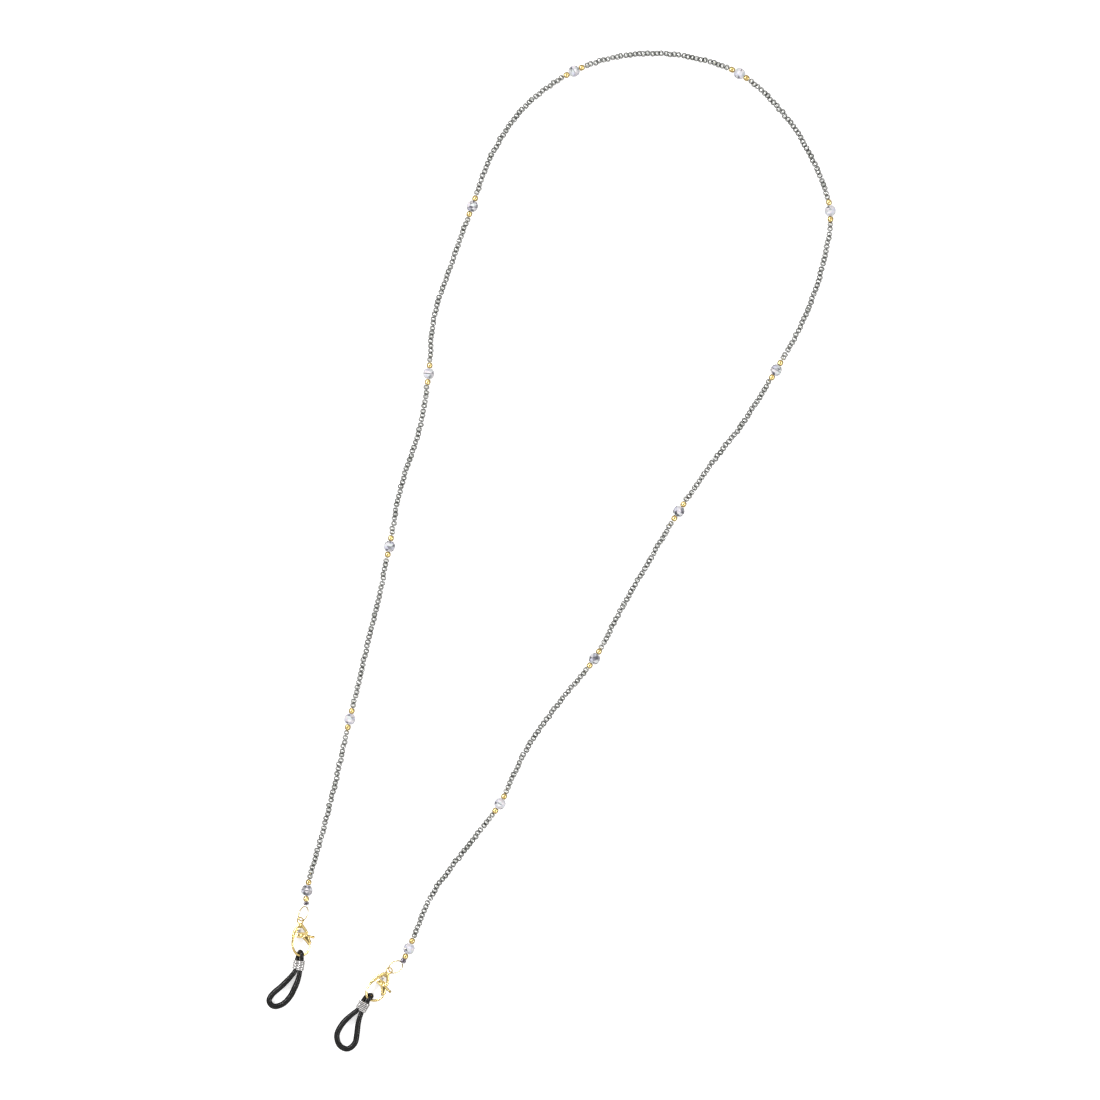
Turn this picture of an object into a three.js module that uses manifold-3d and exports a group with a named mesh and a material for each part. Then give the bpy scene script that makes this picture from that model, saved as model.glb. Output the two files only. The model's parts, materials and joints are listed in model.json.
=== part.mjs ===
// A beaded eyeglass strap laid out flat: one thread of small glass beads with faceted crystals between
// gold spacers, and at each end a wire ring, a lobster clasp and a black rubber temple loop with a coil
// that slides on it. Millimetres, +Z up. The strap lies on z = 0, and the origin is below the middle of
// the two end fittings.
import * as THREE from "three";
import { mergeVertices } from "three/addons/utils/BufferGeometryUtils.js";
import Module from "manifold-3d";

const wasm = await Module();
wasm.setup();

// ---- driving dimensions ----------------------------------------------------------------------------
const THREAD_R = 0.22;
const SEED_R = 1.0; // the runs of small beads
const RONDELLE = { radius: 2.0, length: 3.4, bore: 0.5, facets: 8 };
const SPACER = { radius: 1.0, length: 2.0, bore: 0.42, fromRondelle: 2.8 };
const CRIMP = { radius: 0.88, length: 0.9, bore: 0.34, fromRondelle: 4.36 };
const RUN_START = 3.95; // a bead run begins this far from the rondelle's centre
const RUN_STEPS = 7;
const RING = { radius: 2.5, wire: 0.22 };
const THREAD_EYE = { radius: 0.52, thread: 0.15 }; // the thread's end loop, round the ring
const CLASP_Z = 2.3; // height of the clasps' middle plane
const EYE = { radius: 1.0, wire: 0.27 };
const CASE_HALF = 0.95; // half the thickness of the clasp's head
const CHEEK_INNER = 0.6;
const HOOK = { halfWidth: 0.45, halfHeight: 0.5 };
const PIVOT = [4.9, 0.7]; // the trigger's pin, from the eye, along and across the clasp
const PIN = { radius: 0.33, bore: 0.39, half: 0.93 };
const TRIGGER = { half: 0.55, hub: 0.85, reach: 3.95, gap: 0.1 };
const SPRING = { radius: 0.33, wire: 0.09, turns: 4, from: 2.98, to: 3.78, across: -0.36 };
const LOOP = { radius: 0.85, thin: 0.65, coiled: 0.75, steps: 60, sides: 8 };
const COIL = { wire: 0.22, turns: 5.5, start: 1.5, length: 3.5, z: 1.8, legs: 0.77, gap: 0.05 };

// ---- the strand's route: its ends, the thirteen rondelles, and two points between each pair ----------
const RONDELLE_Z = RONDELLE.radius * Math.cos(Math.PI / RONDELLE.facets) + 0.01;
const END_LIFT = 0.15; // the end rondelles lean up toward the clasps
const RUN_Z = 1.15;
const LEFT_END = [-9.5, 24.0];
const RIGHT_END = [22.5, 5.2];
// prettier-ignore
const STATIONS = [
  [-9.3, 29.4], [5.0, 86.5], [18.2, 144.0], [31.3, 201.5], [45.8, 257.3], [79.7, 302.3],
  [134.8, 301.5], [165.0, 255.8], [147.0, 202.7], [114.6, 155.7], [86.5, 106.6], [55.0, 58.3],
  [24.7, 10.0],
];
// prettier-ignore
const BETWEEN = [
  [-4.2, 48.3], [0.6, 67.3], [9.5, 105.6], [14.1, 124.8], [21.9, 163.4], [27.9, 182.0],
  [33.0, 220.2], [39.1, 238.9], [52.8, 275.6], [63.9, 291.1], [97.8, 307.8], [116.9, 307.3],
  [148.6, 289.2], [158.9, 273.4], [162.3, 237.0], [156.0, 219.1], [137.0, 186.6], [125.4, 171.3],
  [104.9, 139.5], [95.4, 123.1], [74.4, 91.6], [63.4, 75.7], [43.4, 43.1], [32.2, 27.6],
];
const routePoints = [new THREE.Vector3(...LEFT_END, CLASP_Z)];
STATIONS.forEach((station, i) => {
  const lift = i === 0 || i === STATIONS.length - 1 ? END_LIFT : 0;
  routePoints.push(new THREE.Vector3(...station, RONDELLE_Z + lift));
  for (const point of BETWEEN.slice(2 * i, 2 * i + 2)) {
    routePoints.push(new THREE.Vector3(...point, RUN_Z));
  }
});
routePoints.push(new THREE.Vector3(...RIGHT_END, CLASP_Z));
const route = new THREE.CatmullRomCurve3(routePoints);

// ---- the two ends ----------------------------------------------------------------------------------
// Headings are degrees in plan, anticlockwise from +X. hangs is where on the hook the rubber loop
// hangs, from the eye, along and across the clasp, hookTurn turns the rubber's bend there square to
// the hook, and slack is the play it has there. bend lists the rubber loop's middle line beyond the
// coil, along and across the loop.
const ENDS = {
  left: {
    station: 0,
    toward: -1,
    thread: LEFT_END,
    ringHeading: -113,
    ringTilt: 54,
    claspHeading: -90,
    loopHeading: -98.8,
    hangs: [11.62, -0.1],
    hookTurn: 0,
    slack: 0.08,
    // prettier-ignore
    bend: [
      [7.8, -2.2], [11.4, -4.8], [14.3, -7.2], [16.6, -8.0], [18.2, -6.3], [17.1, -3.4],
      [14.3, -1.3], [10.9, -0.1], [7.9, 0.6],
    ],
  },
  right: {
    station: STATIONS.length - 1,
    toward: 1,
    thread: RIGHT_END,
    ringHeading: -150.5,
    ringTilt: 45,
    claspHeading: -126,
    loopHeading: -120.9,
    hangs: [11.57, -0.5],
    hookTurn: -28,
    slack: 0.34,
    // prettier-ignore
    bend: [
      [7.9, -1.8], [11.9, -2.75], [16.0, -2.4], [18.5, 0.2], [18.2, 3.0], [15.4, 4.15],
      [12.6, 3.3], [9.9, 2.1], [7.7, 1.3],
    ],
  },
};

// ---- colours and finishes --------------------------------------------------------------------------
const finish = (color, roughness, metalness) => ({ color, roughness, metalness });
const GOLD = finish(0xd9a43b, 0.25, 1);
const PALE_GOLD = finish(0xcdb98a, 0.3, 1);
const SILVER = finish(0xd6d3d0, 0.25, 1);
const STEEL = finish(0x9a9a9a, 0.4, 1);
const GUNMETAL = finish(0x4a4650, 0.35, 1);
const CRYSTAL = finish(0xc4c6cc, 0.1, 0.3);
const GLASS_BEADS = finish(0xb4b6b4, 0.2, 0.3);
const RUBBER = finish(0x171717, 0.35, 0);

// ---- small helpers ---------------------------------------------------------------------------------
const radians = THREE.MathUtils.degToRad;

// A closed geometry as a manifold-3d solid.
function solid(geometry) {
  const bare = geometry.index ? geometry.toNonIndexed() : geometry.clone();
  bare.deleteAttribute("normal");
  bare.deleteAttribute("uv");
  const merged = mergeVertices(bare, 1e-4);
  return new wasm.Manifold(
    new wasm.Mesh({
      numProp: 3,
      vertProperties: merged.attributes.position.array,
      triVerts: new Uint32Array(merged.index.array),
    }),
  );
}

function geometryOf(manifold) {
  const mesh = manifold.getMesh();
  return new THREE.BufferGeometry()
    .setAttribute("position", new THREE.BufferAttribute(mesh.vertProperties, 3))
    .setIndex(new THREE.BufferAttribute(mesh.triVerts, 1));
}

const join = (solids) => solids.reduce((a, b) => a.add(b));

function named(name, geometry, look) {
  const shown = geometry.index ? geometry.toNonIndexed() : geometry;
  shown.computeVertexNormals();
  const mesh = new THREE.Mesh(shown, new THREE.MeshStandardMaterial(look));
  mesh.name = name;
  return mesh;
}

// A round or oval section swept along a curve.
function swept(curve, steps, halfAcross, halfUp, sides) {
  const section = new THREE.Shape().absellipse(0, 0, halfUp, halfAcross, 0, 2 * Math.PI, false, 0);
  const outline = new THREE.Shape(section.getPoints(sides / 2).slice(0, -1));
  return new THREE.ExtrudeGeometry(outline, { steps, extrudePath: curve });
}

// A plate of a given half thickness, with its edges bevelled and its size kept.
function plate(shape, half, bevel = 0, curveSegments = 6) {
  const depth = 2 * (half - bevel);
  return new THREE.ExtrudeGeometry(shape, {
    depth,
    curveSegments,
    bevelEnabled: bevel > 0,
    bevelThickness: bevel,
    bevelSize: bevel,
    bevelOffset: -bevel,
    bevelSegments: 1,
  }).translate(0, 0, -depth / 2);
}

// The outline of a band with a width that changes along its middle line, with rounded ends.
function band(points, halfWidths, steps = 10) {
  const line = new THREE.SplineCurve(points.map((p) => new THREE.Vector2(...p)));
  const widths = new THREE.SplineCurve(halfWidths.map((w, i) => new THREE.Vector2(i, w)));
  const sideOf = (t, sign) => {
    const tangent = line.getTangent(t);
    const reach = sign * widths.getPoint(t).y;
    return line.getPoint(t).add(new THREE.Vector2(-tangent.y, tangent.x).multiplyScalar(reach));
  };
  const end = (t, from) => {
    const tangent = line.getTangent(t);
    const middle = Math.atan2(tangent.y, tangent.x) + (from < 0 ? 0 : Math.PI);
    return [-0.5, 0, 0.5].map((turn) => {
      const angle = middle + (turn * Math.PI) / 2;
      const reach = widths.getPoint(t).y;
      return line.getPoint(t).add(
        new THREE.Vector2(Math.cos(angle), Math.sin(angle)).multiplyScalar(reach),
      );
    });
  };
  const along = Array.from({ length: steps + 1 }, (_, i) => i / steps);
  return new THREE.Shape([
    ...along.map((t) => sideOf(t, -1)),
    ...end(1, -1),
    ...along.toReversed().map((t) => sideOf(t, 1)),
    ...end(0, 1),
  ]);
}

function disc(x, y, radius, sides = 12) {
  return new THREE.Shape(
    Array.from({ length: sides }, (_, i) => {
      const angle = (2 * Math.PI * (i + 0.5)) / sides;
      return new THREE.Vector2(x + radius * Math.cos(angle), y + radius * Math.sin(angle));
    }),
  );
}

const post = (x, y, radius, half, sides = 12) => plate(disc(x, y, radius, sides), half, 0, 1);

// Turns a geometry whose axis is +Y so that it lies along a direction at a point.
function alongDirection(geometry, point, direction) {
  const turn = new THREE.Quaternion().setFromUnitVectors(new THREE.Vector3(0, 1, 0), direction);
  return geometry
    .applyMatrix4(new THREE.Matrix4().makeRotationFromQuaternion(turn))
    .translate(point.x, point.y, point.z);
}

// ---- places along the strand -----------------------------------------------------------------------
const SEGMENTS = routePoints.length - 1;
const stationT = (i) => (1 + 3 * i) / SEGMENTS;

// The curve's parameter at a distance in millimetres from a rondelle's centre.
function atDistance(i, distance) {
  const pieces = 40;
  let t = stationT(i);
  for (let k = 0; k < pieces; k++) {
    const step = 1e-4;
    const speed = route.getPoint(t + step).distanceTo(route.getPoint(t - step)) / (2 * step);
    t += distance / pieces / speed;
  }
  return t;
}

const placeOn = (geometry, t) => alongDirection(geometry, route.getPoint(t), route.getTangent(t));

class Stretch extends THREE.Curve {
  constructor(from, to) {
    super();
    this.from = from;
    this.to = to;
  }
  getPoint(t, target = new THREE.Vector3()) {
    return route.getPoint(THREE.MathUtils.lerp(this.from, this.to, t), target);
  }
}

// ---- beads -----------------------------------------------------------------------------------------
// A bead is turned from a closed profile: radius and height up its own axis.
const turned = (profile, sides, phase = 0) =>
  new THREE.LatheGeometry(
    [...profile, profile[0]].map(([r, y]) => new THREE.Vector2(r, y)),
    sides,
    phase,
  );

function rondelle() {
  const { radius, length, bore, facets } = RONDELLE;
  const half = length / 2;
  const belt = 0.15 * radius;
  const table = 0.52 * radius;
  const profile = [
    [bore, -half], [table, -half], [radius, -belt], [radius, belt], [table, half], [bore, half],
  ];
  return turned(profile, facets, Math.PI / facets);
}

function roundBead({ radius, length, bore }, sides = 8) {
  const half = length / 2;
  const profile = [
    [bore, -half], [0.62 * radius, -half], [radius, -0.35 * half], [radius, 0.35 * half],
    [0.62 * radius, half], [bore, half],
  ];
  return turned(profile, sides, Math.PI / sides);
}

// ---- the strand ------------------------------------------------------------------------------------
// The thread's loop round a ring: a small ring of thread square to the ring's wire.
function threadEye(end) {
  const place = ringPlace(end);
  const eye = new THREE.TorusGeometry(THREAD_EYE.radius, THREAD_EYE.thread, 6, 12);
  eye.lookAt(place.wireAtThread);
  return eye.translate(place.thread.x, place.thread.y, place.thread.z);
}

function strandGeometry() {
  const parts = [];
  const last = STATIONS.length - 1;
  for (let i = 0; i < last; i++) {
    const run = new Stretch(atDistance(i, RUN_START), atDistance(i + 1, -RUN_START));
    parts.push(swept(run, RUN_STEPS, SEED_R, SEED_R, 8));
  }
  for (let i = 0; i <= last; i++) {
    const from = i === 0 ? endOfThread(ENDS.left) : atDistance(i, -RUN_START - 0.4);
    const to = i === last ? endOfThread(ENDS.right) : atDistance(i, RUN_START + 0.4);
    parts.push(swept(new Stretch(from, to), 2, THREAD_R, THREAD_R, 6));
  }
  for (const end of Object.values(ENDS)) parts.push(threadEye(end));
  return geometryOf(join(parts.map(solid)));
}

// The thread stops where it meets its own end loop.
function endOfThread(end) {
  const total = route.getPoint(end.toward < 0 ? 0 : 1).distanceTo(routePoints[1 + 3 * end.station]);
  return atDistance(end.station, end.toward * (total - THREAD_EYE.radius));
}

// ---- the wire ring ---------------------------------------------------------------------------------
// A ring spans the thread's loop and the clasp's eye across its full width, and is tilted about the
// line between them.
function ringPlace(end) {
  const heading = radians(end.ringHeading);
  const tilt = radians(end.ringTilt);
  const line = new THREE.Vector3(Math.cos(heading), Math.sin(heading), 0);
  const across = new THREE.Vector3(-line.y, line.x, 0);
  const thread = new THREE.Vector3(...end.thread, CLASP_Z);
  const centre = thread.clone().addScaledVector(line, RING.radius);
  const wireAtThread = across.clone().multiplyScalar(Math.cos(tilt)).setZ(Math.sin(tilt));
  const eye = thread.clone().addScaledVector(line, 2 * RING.radius);
  return { line, wireAtThread, centre, thread, eye };
}

function ringGeometry(end) {
  const { line, wireAtThread, centre } = ringPlace(end);
  const normal = line.clone().cross(wireAtThread);
  const turn = new THREE.Matrix4().makeBasis(line, wireAtThread, normal);
  return new THREE.TorusGeometry(RING.radius, RING.wire, 8, 24)
    .applyMatrix4(turn)
    .translate(centre.x, centre.y, centre.z);
}

// ---- the clasp, in its own frame: +X from the eye to the hook, +Y to the trigger's side --------------
const SPINE = [[1.5, -0.45], [3.0, -1.4], [4.8, -2.15], [6.6, -2.5]];
const RIM = [[1.5, 0.5], [2.9, 1.5], [4.2, 2.3]];
const HOOK_LINE = [
  [5.6, -2.35], [6.8, -2.55], [8.8, -2.5], [10.4, -1.85], [11.4, -0.85], [11.65, 0.3],
  [11.1, 1.7], [9.9, 2.85], [7.9, 3.4],
];
const TONGUE = [[4.9, 0.7], [5.8, 1.85], [6.7, 2.6], [7.9, 3.15]];
const TAB = [[5.1, 1.2], [5.3, 2.6], [5.45, 4.2]];
const KNOB = { at: [5.5, 4.35], radius: 0.5, half: 0.75 };

function claspBody() {
  const eye = new THREE.TorusGeometry(EYE.radius, EYE.wire, 8, 20);
  const neck = plate(band([[1.15, 0], [1.9, 0]], [0.5, 0.75], 2), 0.6, 0.15);
  const spine = plate(band(SPINE, [0.55, 0.68, 0.66, 0.4], 6), CASE_HALF, 0.3);
  const rim = plate(band(RIM, [0.5, 0.48, 0.42], 4), CASE_HALF, 0.3);
  const hookCurve = new THREE.CatmullRomCurve3(
    HOOK_LINE.map(([x, y]) => new THREE.Vector3(x, y, 0)),
  );
  const hook = swept(hookCurve, 18, HOOK.halfWidth, HOOK.halfHeight, 8);
  const cheekShape = band([[4.7, -2.0], [4.9, 0.7], [4.2, 2.3]], [0.7, 0.95, 0.4], 6);
  const cheekHalf = (CASE_HALF - CHEEK_INNER) / 2;
  const cheeks = [-1, 1].map((side) =>
    plate(cheekShape, cheekHalf).translate(0, 0, (side * (CASE_HALF + CHEEK_INNER)) / 2),
  );
  const body = join([eye, neck, spine, rim, hook, ...cheeks].map(solid));
  const pinHole = post(...PIVOT, PIN.bore, 2);
  const path = plate(sweepOfTongue(), 2);
  return geometryOf(body.subtract(solid(pinHole)).subtract(solid(path)));
}

// The space that the end of the trigger's tongue swings through: part of a ring round the pin.
function sweepOfTongue() {
  const outer = TRIGGER.reach + TRIGGER.gap;
  const angles = Array.from({ length: 13 }, (_, i) => radians(20 + 3 * i));
  const at = (angle, reach) =>
    new THREE.Vector2(PIVOT[0] + reach * Math.cos(angle), PIVOT[1] + reach * Math.sin(angle));
  return new THREE.Shape([
    ...angles.map((angle) => at(angle, outer)),
    ...angles.toReversed().map((angle) => at(angle, 0.7 * outer)),
  ]);
}

// The tongue is as wide as the side of the clasp that it closes, and ends in an arc round the pin.
function claspTrigger() {
  const { half, hub, reach } = TRIGGER;
  const tongue = solid(plate(band(TONGUE, [0.7, 0.9, 0.85, 0.68], 7), half, 0.12));
  const tab = plate(band(TAB, [0.5, 0.5, 0.3], 3), half, 0.12);
  const heel = plate(band([[4.9, 0.7], [4.25, -0.42]], [0.5, 0.36], 2), 0.5);
  const knob = post(...KNOB.at, KNOB.radius, KNOB.half, 10);
  const body = join([post(...PIVOT, hub, 0.5), tab, heel, knob].map(solid)).add(
    tongue.intersect(solid(post(...PIVOT, reach, 2, 48))),
  );
  return geometryOf(body.subtract(solid(post(...PIVOT, PIN.bore, 2))));
}

const claspPin = () => post(...PIVOT, PIN.radius, PIN.half);

function helix(pointAt, turns, perTurn) {
  const count = Math.round(turns * perTurn);
  const points = Array.from({ length: count + 1 }, (_, i) => pointAt(i / count, i / perTurn));
  return { curve: new THREE.CatmullRomCurve3(points), count };
}

function claspSpring() {
  const { radius, wire, turns, from, to, across } = SPRING;
  const { curve, count } = helix((part, turn) => {
    const angle = 2 * Math.PI * turn;
    const x = THREE.MathUtils.lerp(from, to, part);
    return new THREE.Vector3(x, across + radius * Math.cos(angle), radius * Math.sin(angle));
  }, turns, 8);
  return swept(curve, count, wire, wire, 5);
}

// ---- the rubber loop and its coil, in the loop's frame: +X from the hook to the loop's end -----------
function loopCurve(end) {
  const { start, length, z, legs } = COIL;
  const coil = [start + 0.2, start + length / 2, start + length + 0.2];
  const rise = CLASP_Z - COIL.z;
  const { slack } = end;
  const front = [
    [-1.34 - slack, 0.0, CLASP_Z], [-0.95 - slack, 0.45, CLASP_Z + 0.87],
    [-0.05, 0.66, CLASP_Z + 1.3 + slack], [0.85, 0.75, CLASP_Z + 0.8 + slack],
    [1.25, legs, z + rise * 0.5],
  ];
  const back = [
    [1.1, -legs, z - 0.25], [0.1, -0.66, CLASP_Z - 1.29 - slack],
    [-0.92 - slack, -0.45, CLASP_Z - 0.9],
  ];
  const out = end.bend.map(([x, y], i) => {
    const middle = (end.bend.length - 1) / 2;
    const away = 1 - Math.abs(i - middle) / middle;
    return [x, y, THREE.MathUtils.lerp(z - 0.1, LOOP.radius + 0.04, Math.min(1, 1.6 * away))];
  });
  const upright = new THREE.Vector3(0, 0, 1);
  const turned = ([x, y, height]) =>
    new THREE.Vector3(x, y, height).applyAxisAngle(
      upright,
      radians(end.hookTurn) * (1 - THREE.MathUtils.smoothstep(x, 0.2, 1.2)),
    );
  const points = [
    ...front,
    ...coil.map((x) => [x, legs, z]),
    ...out.toReversed(),
    ...coil.toReversed().map((x) => [x, -legs, z]),
    ...back,
  ];
  return new THREE.CatmullRomCurve3(points.map(turned), true);
}

// The rubber is squeezed thinner inside the coil and round the hook.
function loopRadius(point) {
  const coilEnd = COIL.start + COIL.length;
  const inCoil = THREE.MathUtils.smoothstep(point.x, coilEnd, coilEnd + 1);
  const atHook = THREE.MathUtils.smoothstep(point.x, COIL.start - 1.2, COIL.start + 0.2);
  const tight = THREE.MathUtils.lerp(LOOP.thin, LOOP.coiled, atHook);
  return THREE.MathUtils.lerp(tight, LOOP.radius, inCoil);
}

function rubberLoop(end) {
  const curve = loopCurve(end);
  const geometry = new THREE.TubeGeometry(curve, LOOP.steps, 1, LOOP.sides, true);
  const position = geometry.attributes.position;
  const vertex = new THREE.Vector3();
  for (let ring = 0; ring <= LOOP.steps; ring++) {
    const middle = curve.getPointAt((ring % LOOP.steps) / LOOP.steps);
    for (let side = 0; side <= LOOP.sides; side++) {
      const index = ring * (LOOP.sides + 1) + side;
      vertex.fromBufferAttribute(position, index).sub(middle).multiplyScalar(loopRadius(middle));
      position.setXYZ(index, ...vertex.add(middle).toArray());
    }
  }
  return geometry;
}

// Each turn of the coil follows both legs of the rubber, with a waist between them.
function wireCoil() {
  const { wire, turns, start, length, z, legs, gap } = COIL;
  const reach = LOOP.coiled + gap + wire;
  const lobe = [-105, -60, -20, 20, 60, 105].map(radians);
  const waist = 0.86;
  const turn = [
    ...lobe.map((angle) => [legs + reach * Math.cos(angle), reach * Math.sin(angle)]),
    [0, waist],
    ...lobe.map((angle) => [-legs - reach * Math.cos(angle), -reach * Math.sin(angle)]),
    [0, -waist],
  ];
  const { curve, count } = helix((part, turnsMade) => {
    const [y, up] = turn[Math.round(turnsMade * turn.length) % turn.length];
    return new THREE.Vector3(start + wire + part * (length - 2 * wire), y, z + up);
  }, turns, turn.length);
  return swept(curve, count, wire, wire, 6);
}

// ---- the assembly ----------------------------------------------------------------------------------
const strap = new THREE.Group();
const number = (i) => String(i + 1).padStart(2, "0");

strap.add(named("beaded_strand", strandGeometry(), GLASS_BEADS));
STATIONS.forEach((_, i) => {
  strap.add(named(`crystal_rondelle_${number(i)}`, placeOn(rondelle(), stationT(i)), CRYSTAL));
  [-1, 1].forEach((side, k) => {
    const t = atDistance(i, side * SPACER.fromRondelle);
    strap.add(named(`gold_spacer_${number(2 * i + k)}`, placeOn(roundBead(SPACER), t), GOLD));
  });
});

for (const [side, end] of Object.entries(ENDS)) {
  const crimpT = atDistance(end.station, end.toward * CRIMP.fromRondelle);
  strap.add(named(`${side}_crimp`, placeOn(roundBead(CRIMP), crimpT), GUNMETAL));
  strap.add(named(`${side}_wire_ring`, ringGeometry(end), PALE_GOLD));

  const clasp = new THREE.Group();
  clasp.position.copy(ringPlace(end).eye);
  clasp.rotation.z = radians(end.claspHeading);
  clasp.add(
    named(`${side}_clasp_body`, claspBody(), GOLD),
    named(`${side}_clasp_trigger`, claspTrigger(), GOLD),
    named(`${side}_clasp_pin`, claspPin(), GOLD),
    named(`${side}_clasp_spring`, claspSpring(), STEEL),
  );
  strap.add(clasp);

  const loop = new THREE.Group();
  clasp.updateMatrixWorld();
  loop.position.copy(clasp.localToWorld(new THREE.Vector3(...end.hangs, 0))).setZ(0);
  loop.rotation.z = radians(end.loopHeading);
  loop.add(
    named(`${side}_rubber_loop`, rubberLoop(end), RUBBER),
    named(`${side}_wire_coil`, wireCoil(), SILVER),
  );
  strap.add(loop);
}

export default strap;
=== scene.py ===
"""A beaded eyeglass strap: the finished pieces and materials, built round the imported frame.

Everything is in metres. A long thread carries glass seed beads, faceted crystals, gold spacers and two
crimps, and each end has a wire ring, a lobster clasp and a rubber temple loop with a wire coil on it.
"""

import json
import math
import random

import bmesh
import bpy
import numpy as np
from mathutils import Matrix, Vector, kdtree


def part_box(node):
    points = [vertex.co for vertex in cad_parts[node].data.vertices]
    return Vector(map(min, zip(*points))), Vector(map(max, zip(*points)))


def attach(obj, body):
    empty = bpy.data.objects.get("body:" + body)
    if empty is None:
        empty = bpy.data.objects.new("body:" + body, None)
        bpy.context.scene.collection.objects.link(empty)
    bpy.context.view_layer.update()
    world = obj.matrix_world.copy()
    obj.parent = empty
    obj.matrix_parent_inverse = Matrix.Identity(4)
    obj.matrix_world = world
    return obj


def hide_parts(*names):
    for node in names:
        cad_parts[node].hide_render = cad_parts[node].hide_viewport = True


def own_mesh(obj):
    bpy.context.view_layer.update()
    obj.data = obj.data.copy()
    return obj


bl_info = {
    "name": "Beaded eyeglass strap",
    "version": (1, 0, 0),
    "blender": (4, 5, 0),
    "location": "View3D > Sidebar > Eyeglass strap",
    "description": "Makes the beads, clasps, rubber loops and stage of a beaded eyeglass strap",
    "category": "Add Mesh",
}

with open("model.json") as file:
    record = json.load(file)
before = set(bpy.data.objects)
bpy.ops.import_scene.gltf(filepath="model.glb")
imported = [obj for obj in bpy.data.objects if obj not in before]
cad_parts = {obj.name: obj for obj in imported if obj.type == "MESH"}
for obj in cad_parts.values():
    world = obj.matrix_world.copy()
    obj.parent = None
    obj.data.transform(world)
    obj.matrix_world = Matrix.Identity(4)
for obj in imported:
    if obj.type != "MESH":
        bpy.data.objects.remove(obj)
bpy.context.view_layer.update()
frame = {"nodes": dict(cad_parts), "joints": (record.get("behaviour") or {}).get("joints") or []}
JOINTS = {joint["name"]: joint for joint in frame["joints"]}
MM = 0.001
UP = Vector((0, 0, 1))
SIDES = ("left", "right")

# ---- the thread's route, from the left ring to the right one
CLASP_Z = 0.0023
STATION_Z = 0.001 * (2 * math.cos(math.pi / 8) + 0.01)
END_LIFT = 0.00015
RUN_Z = 0.00115
LEFT_END = (-0.0095, 0.0240)
RIGHT_END = (0.0225, 0.0052)
STATIONS = [
    (-0.0093, 0.0294), (0.0050, 0.0865), (0.0182, 0.1440), (0.0313, 0.2015), (0.0458, 0.2573),
    (0.0797, 0.3023), (0.1348, 0.3015), (0.1650, 0.2558), (0.1470, 0.2027), (0.1146, 0.1557),
    (0.0865, 0.1066), (0.0550, 0.0583), (0.0247, 0.0100),
]  # fmt: skip
BETWEEN = [
    (-0.0042, 0.0483), (0.0006, 0.0673), (0.0095, 0.1056), (0.0141, 0.1248), (0.0219, 0.1634),
    (0.0279, 0.1820), (0.0330, 0.2202), (0.0391, 0.2389), (0.0528, 0.2756), (0.0639, 0.2911),
    (0.0978, 0.3078), (0.1169, 0.3073), (0.1486, 0.2892), (0.1589, 0.2734), (0.1623, 0.2370),
    (0.1560, 0.2191), (0.1370, 0.1866), (0.1254, 0.1713), (0.1049, 0.1395), (0.0954, 0.1231),
    (0.0744, 0.0916), (0.0634, 0.0757), (0.0434, 0.0431), (0.0322, 0.0276),
]  # fmt: skip
LAST = len(STATIONS) - 1
SPACER_FROM_STATION = 0.0028
CRIMP_FROM_STATION = 0.00436
RUN_START = 0.00395
THREAD_EYE = 0.00052  # radius of the thread's end loops
COIL_START = 0.0015  # from where the loop hangs on the hook
COIL_LEGS = 0.00077  # half the distance between the rubber's legs inside the coil
COIL_Z = 0.0018
PIVOT_TURN = math.atan2(0.7, 4.9)  # of the trigger's pin, seen from the eye, off the clasp's own line
PAINTED_DARK_STATIONS = (0, 2, 4, 8, 9, 10)  # crystals with a larger share of facets painted dark, as painted reflections


# ---- settings
def size(name, description, default):
    """A length that a user may change."""
    return bpy.props.FloatProperty(
        name=name, description=description, default=default, min=0, unit="LENGTH", precision=5
    )


def colour(name, description, default):
    """A surface colour that a user may change."""
    return bpy.props.FloatVectorProperty(
        name=name, description=description, default=default, min=0, max=1, size=3, subtype="COLOR"
    )


class StrandSettings(bpy.types.PropertyGroup):
    """Sizes of what is strung on the thread."""

    thread: size("Thread", "Diameter of the beading thread", 0.00044)
    seed: size("Seed bead", "Diameter of a seed bead", 0.0020)
    seed_length: size("Seed bead length", "Length of a seed bead along the thread", 0.00148)
    crystal: size("Crystal", "Diameter of a faceted crystal", 0.0040)
    crystal_length: size("Crystal length", "Length of a crystal along the thread", 0.0034)
    spacer: size("Spacer", "Diameter of a gold spacer bead", 0.0020)
    beads_per_run: bpy.props.IntProperty(
        name="Beads per run", description="Seed beads between two crystals", default=33, min=2
    )
    lean: bpy.props.FloatProperty(
        name="Lean", description="How far a seed bead tips off the thread", default=0.2, subtype="ANGLE"
    )
    wander: size("Wander", "How far a seed bead sits off the thread's line", 0.00017)


class FittingSettings(bpy.types.PropertyGroup):
    """Sizes of the wire parts at the two ends."""

    ring_wire: size("Ring wire", "Diameter of the jump ring's wire", 0.00044)
    ring_gap: size("Ring gap", "Width of the cut where the jump ring opens", 0.00010)
    coil_wire: size("Coil wire", "Diameter of the coil's wire", 0.00044)
    coil_length: size("Coil length", "Length of the wound coil", 0.0035)
    spring_wire: size("Spring wire", "Diameter of the trigger spring's wire", 0.00018)


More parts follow.
